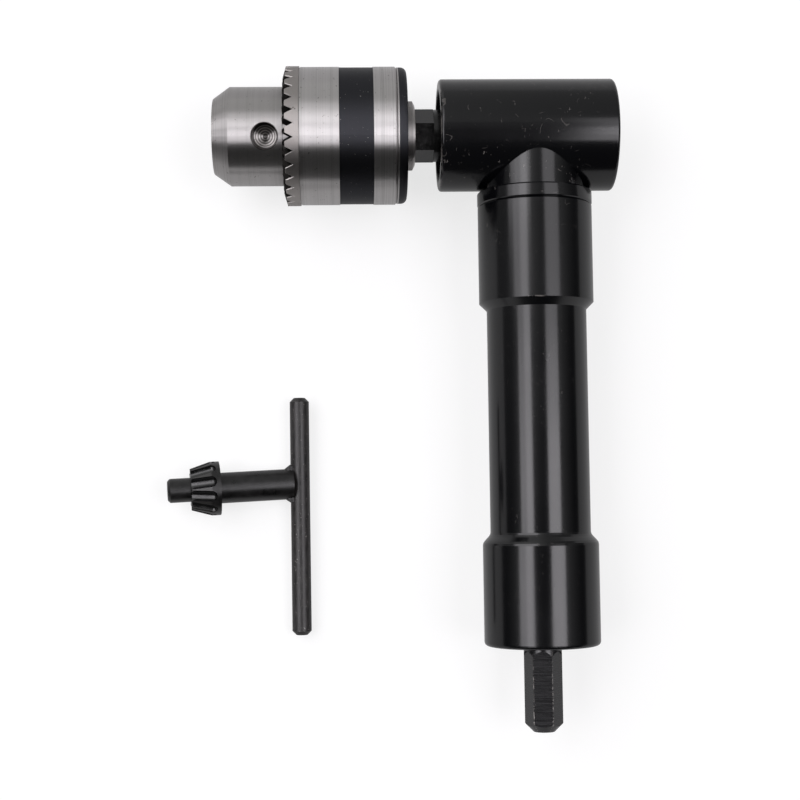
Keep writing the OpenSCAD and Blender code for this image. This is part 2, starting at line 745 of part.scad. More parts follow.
// Input shaft: pinion seat, bearing journals, collar and milled shank
module input_shaft() color(dark) on_input() difference() {
    turned([
        [0, gear_small],
        [input_gear_r - race_bevel, gear_small],
        [input_gear_r, gear_small + race_bevel],
        [input_gear_r, neck_seat],
        [neck_bearing_bore / 2 - seat_gap, neck_seat],
        [neck_bearing_bore / 2 - seat_gap, neck_end + neck_bearing_w],
        [tail_bearing_bore / 2 - seat_gap, neck_end + neck_bearing_w],
        [tail_bearing_bore / 2 - seat_gap, tail_seat - shaft_ring_t],
        [tail_bearing_bore / 2 - shaft_groove_depth, tail_seat - shaft_ring_t],
        [tail_bearing_bore / 2 - shaft_groove_depth, tail_seat],
        [tail_bearing_bore / 2 - seat_gap, tail_seat],
        [tail_bearing_bore / 2 - seat_gap, tail_end],
        [shank_r, tail_end],
        [shank_r, shank_end - shank_bevel],
        [shank_r - shank_bevel, shank_end],
        [0, shank_end]
    ]);
    rotate(pinion_turn) cross_bar(pinion_pin_at, gear_pin_r + seat_gap, over);
    for (i = [0 : 5]) rotate(90 + shank_turn + 60 * i)
        translate([shank_flats / 2, 0, flats_top + flats_cutter_r]) {
            rotate([0, 90, 0]) cylinder(h = shank_r, r = flats_cutter_r);
            translate([0, -flats_cut_half, 0]) cube([shank_r, 2 * flats_cut_half, shank_len]);
        }
}

// Circlip that grips the input shaft above the tail bearing
module shaft_circlip() color(dark) on_input() translate([0, 0, tail_seat - shaft_ring_t])
    linear_extrude(shaft_ring_t - seat_gap) {
        inner_r = tail_bearing_bore / 2 - shaft_groove_depth + seat_gap;
        outer_r = inner_r + shaft_ring_w;
        difference() {
            circle(outer_r);
            circle(inner_r);
            polygon([
                [0, 0],
                [outer_r, -outer_r],
                [2 * outer_r, -outer_r],
                [2 * outer_r, outer_r],
                [outer_r, outer_r]
            ]);
        }
    }

// Radius of the line that a jaw's axis follows, at a distance from the chuck's seat
function jaw_axis_r(z) = jaw_tip_at + (jaw_tip_z - z) * tan(jaw_slope);
function jaw_outer_r(z) = jaw_axis_r(z) + jaw_side_r;

// Frame on a jaw's axis, with +Z towards its tip
module on_jaw(turn) rotate(turn) translate([jaw_tip_at, 0, jaw_tip_z]) rotate([0, -jaw_slope, 0]) children();

module chuck_body() color(steel) on_chuck() difference() {
    turned(concat(
        [[0, 0], [boss_r - boss_bevel_in, 0], [boss_r, boss_bevel], [boss_r, boss_len]],
        arc(rear_flange_r - rear_flange_round, boss_len + rear_flange_round, rear_flange_round, -90, 0),
        [
            [rear_flange_r, boss_len + rear_flange_t],
            [body_r, boss_len + rear_flange_t],
            [body_r, nut_back - side_gap],
            [jaw_outer_r(nut_back) - groove_play, nut_back - side_gap],
            [jaw_outer_r(nut_front) - groove_play, nut_front + side_gap],
            [nose_r, nut_front + side_gap],
            [nose_r, chuck_len - nose_cone_len],
            [nose_tip_r, chuck_len],
            [0, chuck_len]
        ]
    ));
    translate([0, 0, -over]) cylinder(h = chuck_thread_depth + over, r = spindle_thread_r + thread_gap);
    translate([0, 0, chuck_len - bit_bore_len]) cylinder(h = bit_bore_len + over, r = bit_bore_r);
    for (turn = jaw_turns) on_jaw(turn)
        translate([0, 0, -jaw_len - jaw_open_shift / sin(jaw_slope) - over])
            cylinder(h = 2 * jaw_len, r = jaw_r + run_gap);
    for (turn = [0, 120, 240]) rotate(turn) translate([nose_r - key_socket_depth, 0, key_socket_at])
        rotate([0, 90, 0]) {
            cylinder(h = key_socket_depth + over, r = key_socket_r);
            translate([0, 0, -key_socket_r * tan(socket_point_slope)])
                cylinder(h = key_socket_r * tan(socket_point_slope), r1 = 0, r2 = key_socket_r);
        }
}

// Sleeve with the toothed ring and the groove of the black band
module chuck_sleeve() color(bright) on_chuck() difference() {
    turned([
        [sleeve_bore_r, sleeve_back],
        [sleeve_r - sleeve_bevel, sleeve_back],
        [sleeve_r, sleeve_back + sleeve_bevel],
        [sleeve_r, band_back],
        [sleeve_r - band_depth, band_back],
        [sleeve_r - band_depth, band_back + band_w],
        [sleeve_r, band_back + band_w],
        [sleeve_r, ring_back - ring_line_w],
        [sleeve_r - ring_line_depth, ring_back - ring_line_w],
        [sleeve_r - ring_line_depth, ring_back],
        [ring_r, ring_back],
        [ring_r, ring_front],
        [ring_flat_r, ring_top],
        [ring_inner_r, ring_top],
        [ring_inner_r, nut_front + side_gap],
        [nut_r + seat_gap, nut_front + side_gap],
        [nut_r + seat_gap, nut_back - side_gap],
        [sleeve_bore_r, nut_back - side_gap]
    ]);
    for (i = [0 : ring_teeth - 1]) rotate(sleeve_turn + 360 * i / ring_teeth)
        translate([ring_r, 0, ring_front - ring_tooth_depth]) rotate([0, notch_slope, 0])
            translate([ring_inner_r - ring_r - over / 2, 0, 0]) rotate([90, 0, 90])
                linear_extrude(ring_r) polygon([
                    [0, 0],
                    [notch_h * tan(notch_half_angle), notch_h],
                    [-notch_h * tan(notch_half_angle), notch_h]
                ]);
}

// Split nut: a threaded cone, broken in two
module nut_ring() turned(concat(
    [[nut_r, nut_front], [nut_r, nut_back]],
    [
        for (i = [0 : nut_threads - 1], edge = [0, 1])
            let (z = nut_back + nut_w * (i + edge) / nut_threads)
            [jaw_outer_r(z) + nut_play + (edge == 0 ? 0 : thread_depth), z]
    ]
));

module nut_half(turn) intersection() {
    nut_ring();
    rotate(turn) translate([nut_split / 2, -2 * nut_r, 0]) cube([2 * nut_r, 4 * nut_r, chuck_len]);
}

module nut_half_upper() color(dark) on_chuck() nut_half(0);
module nut_half_lower() color(dark) on_chuck() nut_half(180);

// Jaw on its sloping bore: gripping land, side bevels, beveled tip and screw teeth
module jaw(turn) on_chuck() difference() {
    intersection() {
        on_jaw(turn) translate([0, 0, -jaw_len]) cylinder(h = jaw_len + over, r = jaw_r);
        turned([
            [0, 0],
            [jaw_tip_r + jaw_len, 0],
            [jaw_tip_r + jaw_len, jaw_tip_z - jaw_len],
            [jaw_tip_r, jaw_tip_z],
            [0, jaw_tip_z]
        ]);
        rotate(turn) translate([jaw_close_shift + jaw_gap, 0, 0]) linear_extrude(chuck_len)
            polygon([[0, 0], [nose_r, nose_r * tan(60)], [nose_r, -nose_r * tan(60)]]);
        rotate(turn) translate([-jaw_open_shift, 0, 0]) cylinder(h = chuck_len, r = jaw_back_r);
    }
    cylinder(h = chuck_len + over, r = grip_r);
    on_jaw(turn) for (i = [0 : jaw_teeth - 1])
        translate([jaw_r, 0, (i + 1) * jaw_pitch - jaw_len]) rotate([90, 0, 0])
            linear_extrude(2 * jaw_r, center = true) polygon([
                [-jaw_tooth_depth, 0],
                [jaw_tooth_depth, jaw_tooth_depth],
                [jaw_tooth_depth, -jaw_tooth_depth]
            ]);
}

module jaw_1() color(dark) jaw(jaw_turns[0]);
module jaw_2() color(dark) jaw(jaw_turns[1]);
module jaw_3() color(dark) jaw(jaw_turns[2]);

// Key, lying on the bench: +Z runs along its shaft from the bar to the pilot
module on_key() translate([-key_left, cross_y - key_below, bench_z + key_lift])
    rotate(key_heading) rotate([0, key_tilt, 0]) rotate([0, -90, 0]) rotate(-key_roll) children();

key_gear_end = key_reach + key_land_len + key_cone_len;
key_end = key_gear_end + key_pilot_len;
module key_shaft() color(dark) on_key() difference() {
    union() {
        turned([
            [0, key_shaft_start],
            [key_shaft_r, key_shaft_start],
            [key_shaft_r, key_reach],
            [key_gear_r, key_reach],
            [key_gear_r, key_reach + key_land_len],
            [key_gear_tip_r, key_gear_end],
            [key_pilot_r, key_gear_end],
            [key_pilot_r, key_end - key_pilot_bevel],
            [key_pilot_r - key_pilot_bevel, key_end],
            [0, key_end]
        ]);
        intersection() {
            turned([
                [0, 0],
                [key_weld_r, 0],
                [key_weld_r, key_bar_r],
                [key_shaft_r, key_bar_r + key_weld],
                [0, key_bar_r + key_weld]
            ]);
            translate([0, 0, key_bar_r]) rotate([90, 0, 0])
                cylinder(h = 2 * key_weld_r, r = key_bead_r, center = true);
        }
    }
    rotate([90 + key_skew, 0, 0]) cylinder(h = key_bar_len, r = key_bar_r + seat_gap, center = true);
    for (i = [0 : key_teeth - 1]) rotate(360 * (i + 0.5) / key_teeth)
        translate([key_gear_r, 0, key_reach + key_gullet_run + key_gullet_r])
            rotate([0, -atan2(key_gear_r - key_gear_tip_r, key_cone_len), 0]) {
                cylinder(h = key_land_len + key_cone_len + over, r = key_gullet_r);
                sphere(key_gullet_r, $fn = 32);
            }
}

module key_bar() color(dark) on_key() rotate([90 + key_skew, 0, 0])
    translate([0, 0, -key_bar_above]) turned([
        [0, 0],
        [key_bar_r - key_bar_bevel, 0],
        [key_bar_r, key_bar_bevel],
        [key_bar_r, key_bar_len - key_bar_bevel],
        [key_bar_r - key_bar_bevel, key_bar_len],
        [0, key_bar_len]
    ]);

head_housing();
grip_tube();
front_circlip();
neck_circlip();
tail_circlip();
front_outer_race();
front_inner_race();
front_balls();
front_cage();
front_seal();
rear_outer_race();
rear_inner_race();
rear_balls();
rear_cage();
neck_outer_race();
neck_inner_race();
neck_balls();
neck_cage();
tail_outer_race();
tail_inner_race();
tail_balls();
tail_cage();
tail_seal();
output_spindle();
spindle_spacer();
output_gear();
output_gear_pin();
input_shaft();
shaft_circlip();
input_pinion();
input_pinion_pin();
chuck_body();
chuck_sleeve();
nut_half_upper();
nut_half_lower();
jaw_1();
jaw_2();
jaw_3();
key_shaft();
key_bar();
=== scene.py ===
"""Looks of the right angle drill attachment: satin black casing, turned steel key chuck,
blackened shank and chuck key, lying on a pale table under soft studio light."""

import math

import bpy
from mathutils import Matrix, Vector

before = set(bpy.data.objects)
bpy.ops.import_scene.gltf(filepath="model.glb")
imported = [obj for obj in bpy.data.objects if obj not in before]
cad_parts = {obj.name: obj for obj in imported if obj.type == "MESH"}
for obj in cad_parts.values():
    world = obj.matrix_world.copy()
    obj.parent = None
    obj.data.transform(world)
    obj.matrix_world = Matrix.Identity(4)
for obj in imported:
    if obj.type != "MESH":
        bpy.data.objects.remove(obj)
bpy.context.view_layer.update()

MM = 0.001
TABLE_Z = -16.9 * MM                  # the table's top, on which the chuck and the key rest
TABLE_GREY = 0.27                     # its colour
TABLE_SEEN, TABLE_MIRRORED = 0.75, 0.27   # the glow that the camera and mirrors see on top of that
TOOL_MIDDLE = Vector((-20.0, 90.0, 0.0)) * MM

CHUCK_AXIS_Y = 145.0 * MM             # the axis of chuck and barrel lies along X at this Y
FLANGE_X = (-33.35 * MM, -31.1 * MM)  # blackened part of the chuck body's rear flange
FLANGE_END_X = -31.1 * MM             # the pale boss behind the flange starts here
BAND_X = (-47.6 * MM, -39.4 * MM)     # blackened grip band round the sleeve
RING_X = -57.2 * MM                   # the toothed ring starts here
RING_R = 16.9 * MM                    # the tops of its teeth lie at this radius
SOCKET_X = -65.45 * MM                # the three key sockets point at the axis here
SOCKET_R = 3.2 * MM
SOCKET_RING = 0.62 * MM               # from one turned ring in a socket to the next
SOCKET_TURNS = (-12.4, 107.6, 227.6)  # degrees round the chuck from straight up

BARREL_RIM_X = -23.4 * MM             # the barrel's open rim, where a painted highlight runs round it
CROWN_X = (-1.0 * MM, 21.0 * MM)      # the barrel's skin falls away over this length
CROWN_FALL = 0.62                     # by this many millimetres
COLLAR_EDGE_Y = 103.4 * MM            # the tube's upper collar ends here, with painted highlights in broken specks along its edge
SHANK_CORNER_TURN = 21.6              # degrees from straight up to a corner of the shank's hexagon

KEY_BAR_MIDDLE = (-58.4 * MM, 60.3 * MM, -13.44 * MM)   # where the key's axis crosses its bar
KEY_WAY = (-0.9869, -0.0465, 0.1547)  # from there towards its gear
KEY_CONE = (22.3 * MM, 6.65 * MM, 0.304)   # where the gear's cone starts, its radius there and its slope

# Degrees from straight up, as the tool sees them, that each lamp spans across (X) and along (Y), and
# how bright it glows. Two long strips are each laid out of patches, because they fade towards +Y.
LEFT, LEFT_EDGE, BACK, RIGHT = (-36.0, -21.0), (-50.0, -36.0), (-60.0, -15.0), (14.0, 42.0)
SOFTBOXES = (
    ("left_softbox_foot", LEFT, (-25.0, -9.0), 3.7), ("left_edge_foot", LEFT_EDGE, (-25.0, -9.0), 2.0),
    ("left_softbox_near", LEFT, (-9.0, 0.0), 4.5), ("left_edge_near", LEFT_EDGE, (-9.0, 0.0), 2.6),
    ("left_softbox_mid", LEFT, (0.0, 6.0), 4.1), ("left_edge_mid", LEFT_EDGE, (0.0, 6.0), 2.3),
    ("left_softbox_far", LEFT, (6.0, 17.0), 2.9), ("left_edge_far", LEFT_EDGE, (6.0, 17.0), 1.7),
    ("back_softbox", BACK, (17.0, 34.0), 2.5), ("back_softbox_far", BACK, (34.0, 50.0), 1.1),
    ("right_softbox_foot", RIGHT, (-24.0, -9.0), 3.5), ("right_softbox_near", RIGHT, (-9.0, 0.0), 4.4),
    ("right_softbox_mid", RIGHT, (0.0, 5.0), 3.9), ("right_softbox_far", RIGHT, (5.0, 24.0), 1.9))


# ---------------------------------------------------------------- camera

def place_camera():
    """The photograph's viewpoint: above the chuck's side of the tool, looking almost straight down."""
    camera = bpy.data.objects.new("camera", bpy.data.cameras.new("camera"))
    bpy.context.scene.collection.objects.link(camera)
    turn = Matrix.Rotation(0.0132, 3, "Z") @ Matrix.Rotation(-0.0662, 3, "X") @ Matrix.Rotation(0.0337, 3, "Y")
    place = Vector((-46.1607, 145.0 - 89.6022, 371.83)) * MM
    camera.matrix_world = Matrix.Translation(place) @ turn.transposed().to_4x4()
    camera.data.sensor_width = 36.0
    camera.data.lens = 36.0 * 1535.7946 / 800.0
    camera.data.clip_start = 0.01
    camera.data.clip_end = 50.0
    bpy.context.scene.camera = camera


# ---------------------------------------------------------------- node helpers

def add(tree, kind, inputs=None, **settings):
    """A shader node with its settings, and each input either set or wired to another node."""
    node = tree.nodes.new(kind)
    for key, value in settings.items():
        setattr(node, key, value)
    for key, value in (inputs or {}).items():
        if isinstance(value, bpy.types.NodeSocket):
            tree.links.new(value, node.inputs[key])
        else:
            node.inputs[key].default_value = value
    return node


def finish(name, **constants):
    """A new material with one Principled shader, whose plain values are set on its own sockets."""
    material = bpy.data.materials.new(name)
    material.use_nodes = True
    tree = material.node_tree
    shader = tree.nodes["Principled BSDF"]
    for key, value in constants.items():
        shader.inputs[key.replace("_", " ")].default_value = value
    return material, tree, shader


def place_on_part(tree):
    """The place on the piece in the shared frame, in metres."""
    return add(tree, "ShaderNodeTexCoord").outputs["Object"]


def stretch(tree, coords, scale=(1, 1, 1), move=(0, 0, 0)):
    """The same place scaled and shifted, so that a pattern on it is drawn out or starts elsewhere."""
    return add(tree, "ShaderNodeMapping", {"Vector": coords, "Scale": scale, "Location": move}).outputs[0]


def grain(tree, coords, per_metre, detail=3.0, rough=0.55):
    """Noise from 0 to 1, with so many lumps to the metre."""
    return add(tree, "ShaderNodeTexNoise", {"Vector": coords, "Scale": per_metre, "Detail": detail,
                                            "Roughness": rough}).outputs["Fac"]


def spread(tree, value, low, high, to_low=0.0, to_high=1.0):
    """The value's way from low to high, as a number from to_low to to_high."""
    return add(tree, "ShaderNodeMapRange", {"Value": value, "From Min": low, "From Max": high,
                                            "To Min": to_low, "To Max": to_high}).outputs[0]


def sums(tree, operation, first, second=0.0):
    return add(tree, "ShaderNodeMath", {0: first, 1: second}, operation=operation).outputs[0]


def times(tree, first, *others):
    for other in others:
        first = sums(tree, "MULTIPLY", first, other)
    return first


def arrows(tree, operation, first, second=(0.0, 0.0, 0.0), output=0):
    """A sum of two vectors; output 1 is its plain number, where it has one."""
    return add(tree, "ShaderNodeVectorMath", {0: first, 1: second}, operation=operation).outputs[output]


def blend(tree, share, first, second):
    """The first colour, with the second over it by the share."""
    node = add(tree, "ShaderNodeMix", data_type="RGBA")
    for socket, value in ((node.inputs[0], share), (node.inputs[6], first), (node.inputs[7], second)):
        if isinstance(value, bpy.types.NodeSocket):
            tree.links.new(value, socket)
        else:
            socket.default_value = value if isinstance(value, float) else (*value, 1.0)
    return node.outputs[2]


def bump(tree, height, depth, strength=1.0, under=None):
    """The surface's normal with the height in it, over another bump where there is one."""
    inputs = {"Height": height, "Distance": depth, "Strength": strength}
    if under:
        inputs["Normal"] = under
    return add(tree, "ShaderNodeBump", inputs).outputs[0]


def between(tree, value, low, high, soft):
    """1 where the value lies between two places, with soft ends."""
    rise = spread(tree, value, low - soft, low + soft)
    fall = spread(tree, value, high - soft, high + soft, 1.0, 0.0)
    return times(tree, rise, fall)


# ---------------------------------------------------------------- finishes

def paint_wear_and_glints(tree, coords, place):
    """1 where the paint is scuffed: nicks and hair scratches on the head, mostly towards the chuck; and 1
    where
    painted highlights go: broken glints along the upper collar's edge and a broken line round the barrel's
    open rim."""
    nicks = spread(tree, grain(tree, stretch(tree, coords, (1.0, 0.55, 1.0)), 1100.0, 3.0, 0.6), 0.65, 0.69)
    handled = spread(tree, grain(tree, stretch(tree, coords, move=(0.31, 0.12, 0.07)), 90.0, 2.0), 0.50, 0.62)
    hairs = sums(tree, "ABSOLUTE", sums(tree, "SUBTRACT", grain(tree, coords, 210.0, 1.0), 0.5))
    short = spread(tree, grain(tree, stretch(tree, coords, move=(0.05, 0.02, 0.4)), 420.0, 2.0), 0.58, 0.64)
    hairs = times(tree, spread(tree, hairs, 0.010, 0.004, 0.0, 0.45), short)
    on_head = spread(tree, place[1], 118.0 * MM, 134.0 * MM, 0.22, 1.0)
    open_side = spread(tree, place[0], 4.0 * MM, 14.0 * MM, 1.0, 0.25)
    scuffs_and_glints = times(tree, sums(tree, "MAXIMUM", times(tree, nicks, handled), hairs), on_head, open_side)

    # Painted highlight: broken pale glints along the upper collar's lower edge, on its top.
    edge = between(tree, place[1], COLLAR_EDGE_Y - 0.15 * MM, COLLAR_EDGE_Y + 0.15 * MM, 0.06 * MM)
    collar_glints = spread(tree, grain(tree, coords, 900.0, 3.0, 0.7), 0.47, 0.55)
    on_top = times(tree, between(tree, place[0], -3.4 * MM, 0.2 * MM, 0.6 * MM),
                   sums(tree, "GREATER_THAN", place[2], 0.0))
    scuffs_and_glints = sums(tree, "MAXIMUM", scuffs_and_glints, times(tree, edge, collar_glints, on_top))

    # Painted highlight: a broken pale line round the barrel's open rim.
    rim = spread(tree, place[0], BARREL_RIM_X + 0.35 * MM, BARREL_RIM_X + 0.15 * MM)
    rim_glint_breaks = spread(tree, grain(tree, coords, 350.0, 4.0, 0.7), 0.46, 0.62)
    return sums(tree, "MAXIMUM", scuffs_and_glints, times(tree, rim, rim_glint_breaks))


def satin_black_paint():
    """Smooth black paint with a faint orange peel, scuffed in the places that get handled, with painted
    highlights along the upper collar's edge and round the barrel's open rim. On the barrel it falls away a
    little towards the closed end, where it catches the light."""
    material, tree, shader = finish("satin_black_paint", Specular_IOR_Level=0.5)
    coords = place_on_part(tree)
    place = add(tree, "ShaderNodeSeparateXYZ", {0: coords}).outputs
    cloud = grain(tree, coords, 60.0)
    paint = blend(tree, cloud, (0.0013, 0.0014, 0.0019), (0.0026, 0.0027, 0.0034))
    # The pale colour paints both the real scuffs and the painted highlights at the collar's edge and the
    # barrel's rim.
    worn = blend(tree, paint_wear_and_glints(tree, coords, place), paint, (0.12, 0.112, 0.105))
    tree.links.new(worn, shader.inputs["Base Color"])
    tree.links.new(spread(tree, cloud, 0.3, 0.7, 0.15, 0.19), shader.inputs["Roughness"])
    on_barrel = spread(tree, place[1], 128.0 * MM, 131.0 * MM, 0.0, -CROWN_FALL)
    crown = times(tree, sums(tree, "POWER", spread(tree, place[0], *CROWN_X), 2.0), on_barrel)
    peel = grain(tree, coords, 1500.0, 2.0)
    skin = bump(tree, peel, 0.01 * MM, 0.22, under=bump(tree, crown, MM))
    tree.links.new(skin, shader.inputs["Normal"])
    return material


def from_chuck_axis(tree, coords):
    """The spoke from the chuck's axis to the place, and the place's radius round that axis."""
    spoke = arrows(tree, "SUBTRACT", coords, (0.0, CHUCK_AXIS_Y, 0.0))
    along = arrows(tree, "CROSS_PRODUCT", (1.0, 0.0, 0.0), spoke)
    return along, arrows(tree, "LENGTH", along, output=1)


def turned_tangent(tree, round_axis):
    """The direction across the turning marks round the chuck's axis, in which they smear the light."""
    world = add(tree, "ShaderNodeVectorTransform", {0: round_axis}, vector_type="VECTOR",
                convert_from="OBJECT", convert_to="WORLD").outputs[0]
    return arrows(tree, "CROSS_PRODUCT", add(tree, "ShaderNodeNewGeometry").outputs["Normal"], world)


def turning_marks(tree, along, per_metre):
    """Noise along the chuck alone, so that it runs round as the lathe leaves it."""
    return add(tree, "ShaderNodeTexNoise", {"W": along, "Scale": per_metre, "Detail": 2.0},
               noise_dimensions="1D").outputs["Fac"]


def key_sockets(tree, coords):
    """How far the place is from the axis of the nearest key socket, far off on its other side."""
    nearest = None
    for turn in SOCKET_TURNS:
        way = (0.0, math.sin(math.radians(turn)), math.cos(math.radians(turn)))
        spoke = arrows(tree, "SUBTRACT", coords, (SOCKET_X, CHUCK_AXIS_Y, 0.0))
        off = arrows(tree, "LENGTH", arrows(tree, "CROSS_PRODUCT", spoke, way), output=1)
        behind = sums(tree, "LESS_THAN", arrows(tree, "DOT_PRODUCT", spoke, way, output=1), 0.0)
        off = sums(tree, "ADD", off, behind)
        nearest = off if nearest is None else sums(tree, "MINIMUM", nearest, off)
    return nearest


def sleeve_zones(tree, steel, along, radius):
    """The sleeve's steel with its dull ring, with painted shade down in its notches and a painted highlight
    along their edges; and where it is blackened and where it is dull."""
    black = between(tree, along, *BAND_X, 0.05 * MM)
    dull = spread(tree, along, RING_X + 0.1 * MM, RING_X - 0.1 * MM)
    steel = blend(tree, dull, steel, (0.57, 0.54, 0.52))
    # Painted highlight: a pale band along the edges of the ring's notches.
    notch_edge_highlight = between(tree, radius, RING_R - 0.32 * MM, RING_R - 0.06 * MM, 0.03 * MM)
    steel = blend(tree, times(tree, notch_edge_highlight, dull), steel, (0.58, 0.56, 0.54))
    # Painted shade: near-black down in the ring's notches.
    notch_shade = spread(tree, radius, RING_R - 0.3 * MM, RING_R - 0.4 * MM)
    steel = blend(tree, times(tree, notch_shade, dull), steel, (0.014, 0.013, 0.012))
    return steel, black, dull


def body_zones(tree, steel, along, coords):
    """The body's steel with its pale boss, painted shade in its key sockets and darker at their rims, and the
    turned rings in them; and where it is blackened and where it is dull."""
    black = between(tree, along, *FLANGE_X, 0.05 * MM)
    dull = spread(tree, along, FLANGE_END_X - 0.1 * MM, FLANGE_END_X + 0.1 * MM)
    steel = blend(tree, 0.5, steel, (0.37, 0.357, 0.35))
    steel = blend(tree, dull, steel, (0.74, 0.715, 0.70))
    off = key_sockets(tree, coords)
    inside = spread(tree, off, SOCKET_R + 0.10 * MM, SOCKET_R)
    rings = sums(tree, "SINE", times(tree, off, 2.0 * math.pi / SOCKET_RING))
    rings = times(tree, spread(tree, rings, -0.2, 0.6), inside)
    # Painted shade inside each key socket.
    steel = blend(tree, times(tree, inside, 0.85), steel, (0.16, 0.15, 0.145))
    steel = blend(tree, rings, steel, (0.62, 0.60, 0.58))
    # Painted shade: a darker ring round each socket's rim.
    rim = between(tree, off, SOCKET_R - 0.55 * MM, SOCKET_R + 0.12 * MM, 0.08 * MM)
    steel = blend(tree, times(tree, rim, 0.9), steel, (0.05, 0.046, 0.044))
    return steel, black, dull


def chuck_steel(name, sleeve):
    """Turned bright steel with pits; on the body the rear flange is blackened, on the sleeve the band."""
    material, tree, shader = finish(name, Metallic=1.0, Anisotropic=0.95)
    coords = place_on_part(tree)
    round_axis, radius = from_chuck_axis(tree, coords)
    along = add(tree, "ShaderNodeSeparateXYZ", {0: coords}).outputs[0]
    fine = turning_marks(tree, along, 3200.0)
    wide = turning_marks(tree, along, 500.0)
    steel = blend(tree, grain(tree, coords, 120.0), (0.50, 0.485, 0.478), (0.56, 0.545, 0.54))
    lines = times(tree, spread(tree, fine, 0.35, 0.65), spread(tree, wide, 0.3, 0.7), 0.55)
    steel = blend(tree, lines, steel, (0.33, 0.32, 0.315))
    if sleeve:
        steel, black, dull = sleeve_zones(tree, steel, along, radius)
    else:
        steel, black, dull = body_zones(tree, steel, along, coords)
    pits = spread(tree, grain(tree, coords, 1300.0, 3.0), 0.66, 0.72)
    steel = blend(tree, times(tree, pits, 0.6), steel, (0.12, 0.11, 0.10))
    worn = spread(tree, grain(tree, coords, 1700.0, 3.0), 0.70, 0.74)
    oxide = blend(tree, worn, (0.064, 0.065, 0.073), (0.34, 0.33, 0.32))
    tree.links.new(blend(tree, black, steel, oxide), shader.inputs["Base Color"])
    rough = spread(tree, fine, 0.25, 0.75, 0.35, 0.40)
    rough = sums(tree, "ADD", rough, times(tree, sums(tree, "MAXIMUM", dull, black), 0.26))
    tree.links.new(rough, shader.inputs["Roughness"])
    tree.links.new(bump(tree, fine, 0.004 * MM, 0.5), shader.inputs["Normal"])
    tree.links.new(turned_tangent(tree, round_axis), shader.inputs["Tangent"])
    return material


def worn_corners(tree, coords):
    """1 along the corners of the shank's hexagon, in broken lines that grow stronger to its free end."""
    place = add(tree, "ShaderNodeSeparateXYZ", {0: coords}).outputs
    turn = sums(tree, "ARCTAN2", place[0], place[2])
    off = sums(tree, "SUBTRACT", turn, math.radians(SHANK_CORNER_TURN))
    off = sums(tree, "PINGPONG", off, math.radians(30.0))
    edge = spread(tree, off, math.radians(2.2), math.radians(0.9))
    broken = grain(tree, stretch(tree, coords, (1.0, 0.6, 1.0)), 2400.0, 3.0, 0.7)
    low = spread(tree, place[1], 17.0 * MM, 9.0 * MM, 0.3, 1.0)
    return times(tree, edge, spread(tree, broken, 0.47, 0.60), low)


def key_teeth(tree, coords):
    """1 down in the gullets of the key's gear, where painted shade goes; 1 along the crests of its teeth,
    where a painted highlight goes; and 1 on the weld.
    """
    spoke = arrows(tree, "SUBTRACT", coords, KEY_BAR_MIDDLE)
    along = arrows(tree, "DOT_PRODUCT", spoke, KEY_WAY, output=1)
    radius = arrows(tree, "LENGTH", arrows(tree, "CROSS_PRODUCT", spoke, KEY_WAY), output=1)
    start, width, slope = KEY_CONE
    cone = times(tree, sums(tree, "MAXIMUM", sums(tree, "SUBTRACT", along, start), 0.0), slope)
    deep = sums(tree, "SUBTRACT", sums(tree, "SUBTRACT", width, cone), radius)
    on_cone = times(tree, spread(tree, along, start - 2.0 * MM, start - 1.6 * MM),
                    spread(tree, along, start + 5.1 * MM, start + 4.8 * MM))
    gullet_shade = times(tree, spread(tree, deep, 0.10 * MM, 0.30 * MM), on_cone)
    crest_highlight = times(tree, spread(tree, deep, 0.14 * MM, 0.06 * MM), on_cone,
                  spread(tree, along, start, start + 0.6 * MM))
    weld = times(tree, spread(tree, along, 4.3 * MM, 4.0 * MM),
                 spread(tree, radius, 3.84 * MM, 3.92 * MM))
    return gullet_shade, crest_highlight, weld


def black_oxide(name, dark, pale, rough, streak=(1.0, 1.0, 1.0), scuff=0.70, milled=False, geared=False):
    """Blackened steel, mottled from dark to pale along the streak, with a worn grey showing through
    where the noise passes the scuff. A milled piece has worn corners; a geared one has painted shade in its
    gullets and painted highlights along its crests."""
    material, tree, shader = finish(name, Metallic=0.0, Specular_IOR_Level=0.6)
    coords = place_on_part(tree)
    mottle = spread(tree, grain(tree, stretch(tree, coords, streak), 500.0, 4.0, 0.6), 0.3, 0.7)
    worn = spread(tree, grain(tree, coords, 1500.0, 4.0, 0.65), scuff, scuff + 0.05)
    colour = blend(tree, mottle, dark, pale)
    roughness = spread(tree, mottle, 0.0, 1.0, rough - 0.06, rough + 0.08)
    if milled:
        colour = blend(tree, worn_corners(tree, coords), colour, (0.32, 0.305, 0.29))
    if geared:
        gullet_shade, crest_highlight, weld = key_teeth(tree, coords)
        worn = times(tree, worn, sums(tree, "SUBTRACT", 1.0, weld))
        # Painted shade: near-black down in the gear's gullets.
        colour = blend(tree, gullet_shade, colour, (0.0008, 0.0008, 0.0008))
        # Painted highlight: paler lines along the crests of the gear's teeth.
        colour = blend(tree, times(tree, crest_highlight, 0.8), colour, (0.022, 0.021, 0.020))
        roughness = sums(tree, "SUBTRACT", roughness, times(tree, gullet_shade, 0.12))
        roughness = sums(tree, "ADD", roughness, times(tree, weld, 0.2))
    tree.links.new(blend(tree, worn, colour, (0.20, 0.19, 0.18)), shader.inputs["Base Color"])
    tree.links.new(roughness, shader.inputs["Roughness"])
    relief = (0.004 if milled else 0.015) * MM
    tree.links.new(bump(tree, mottle, relief, 0.5), shader.inputs["Normal"])
    return material


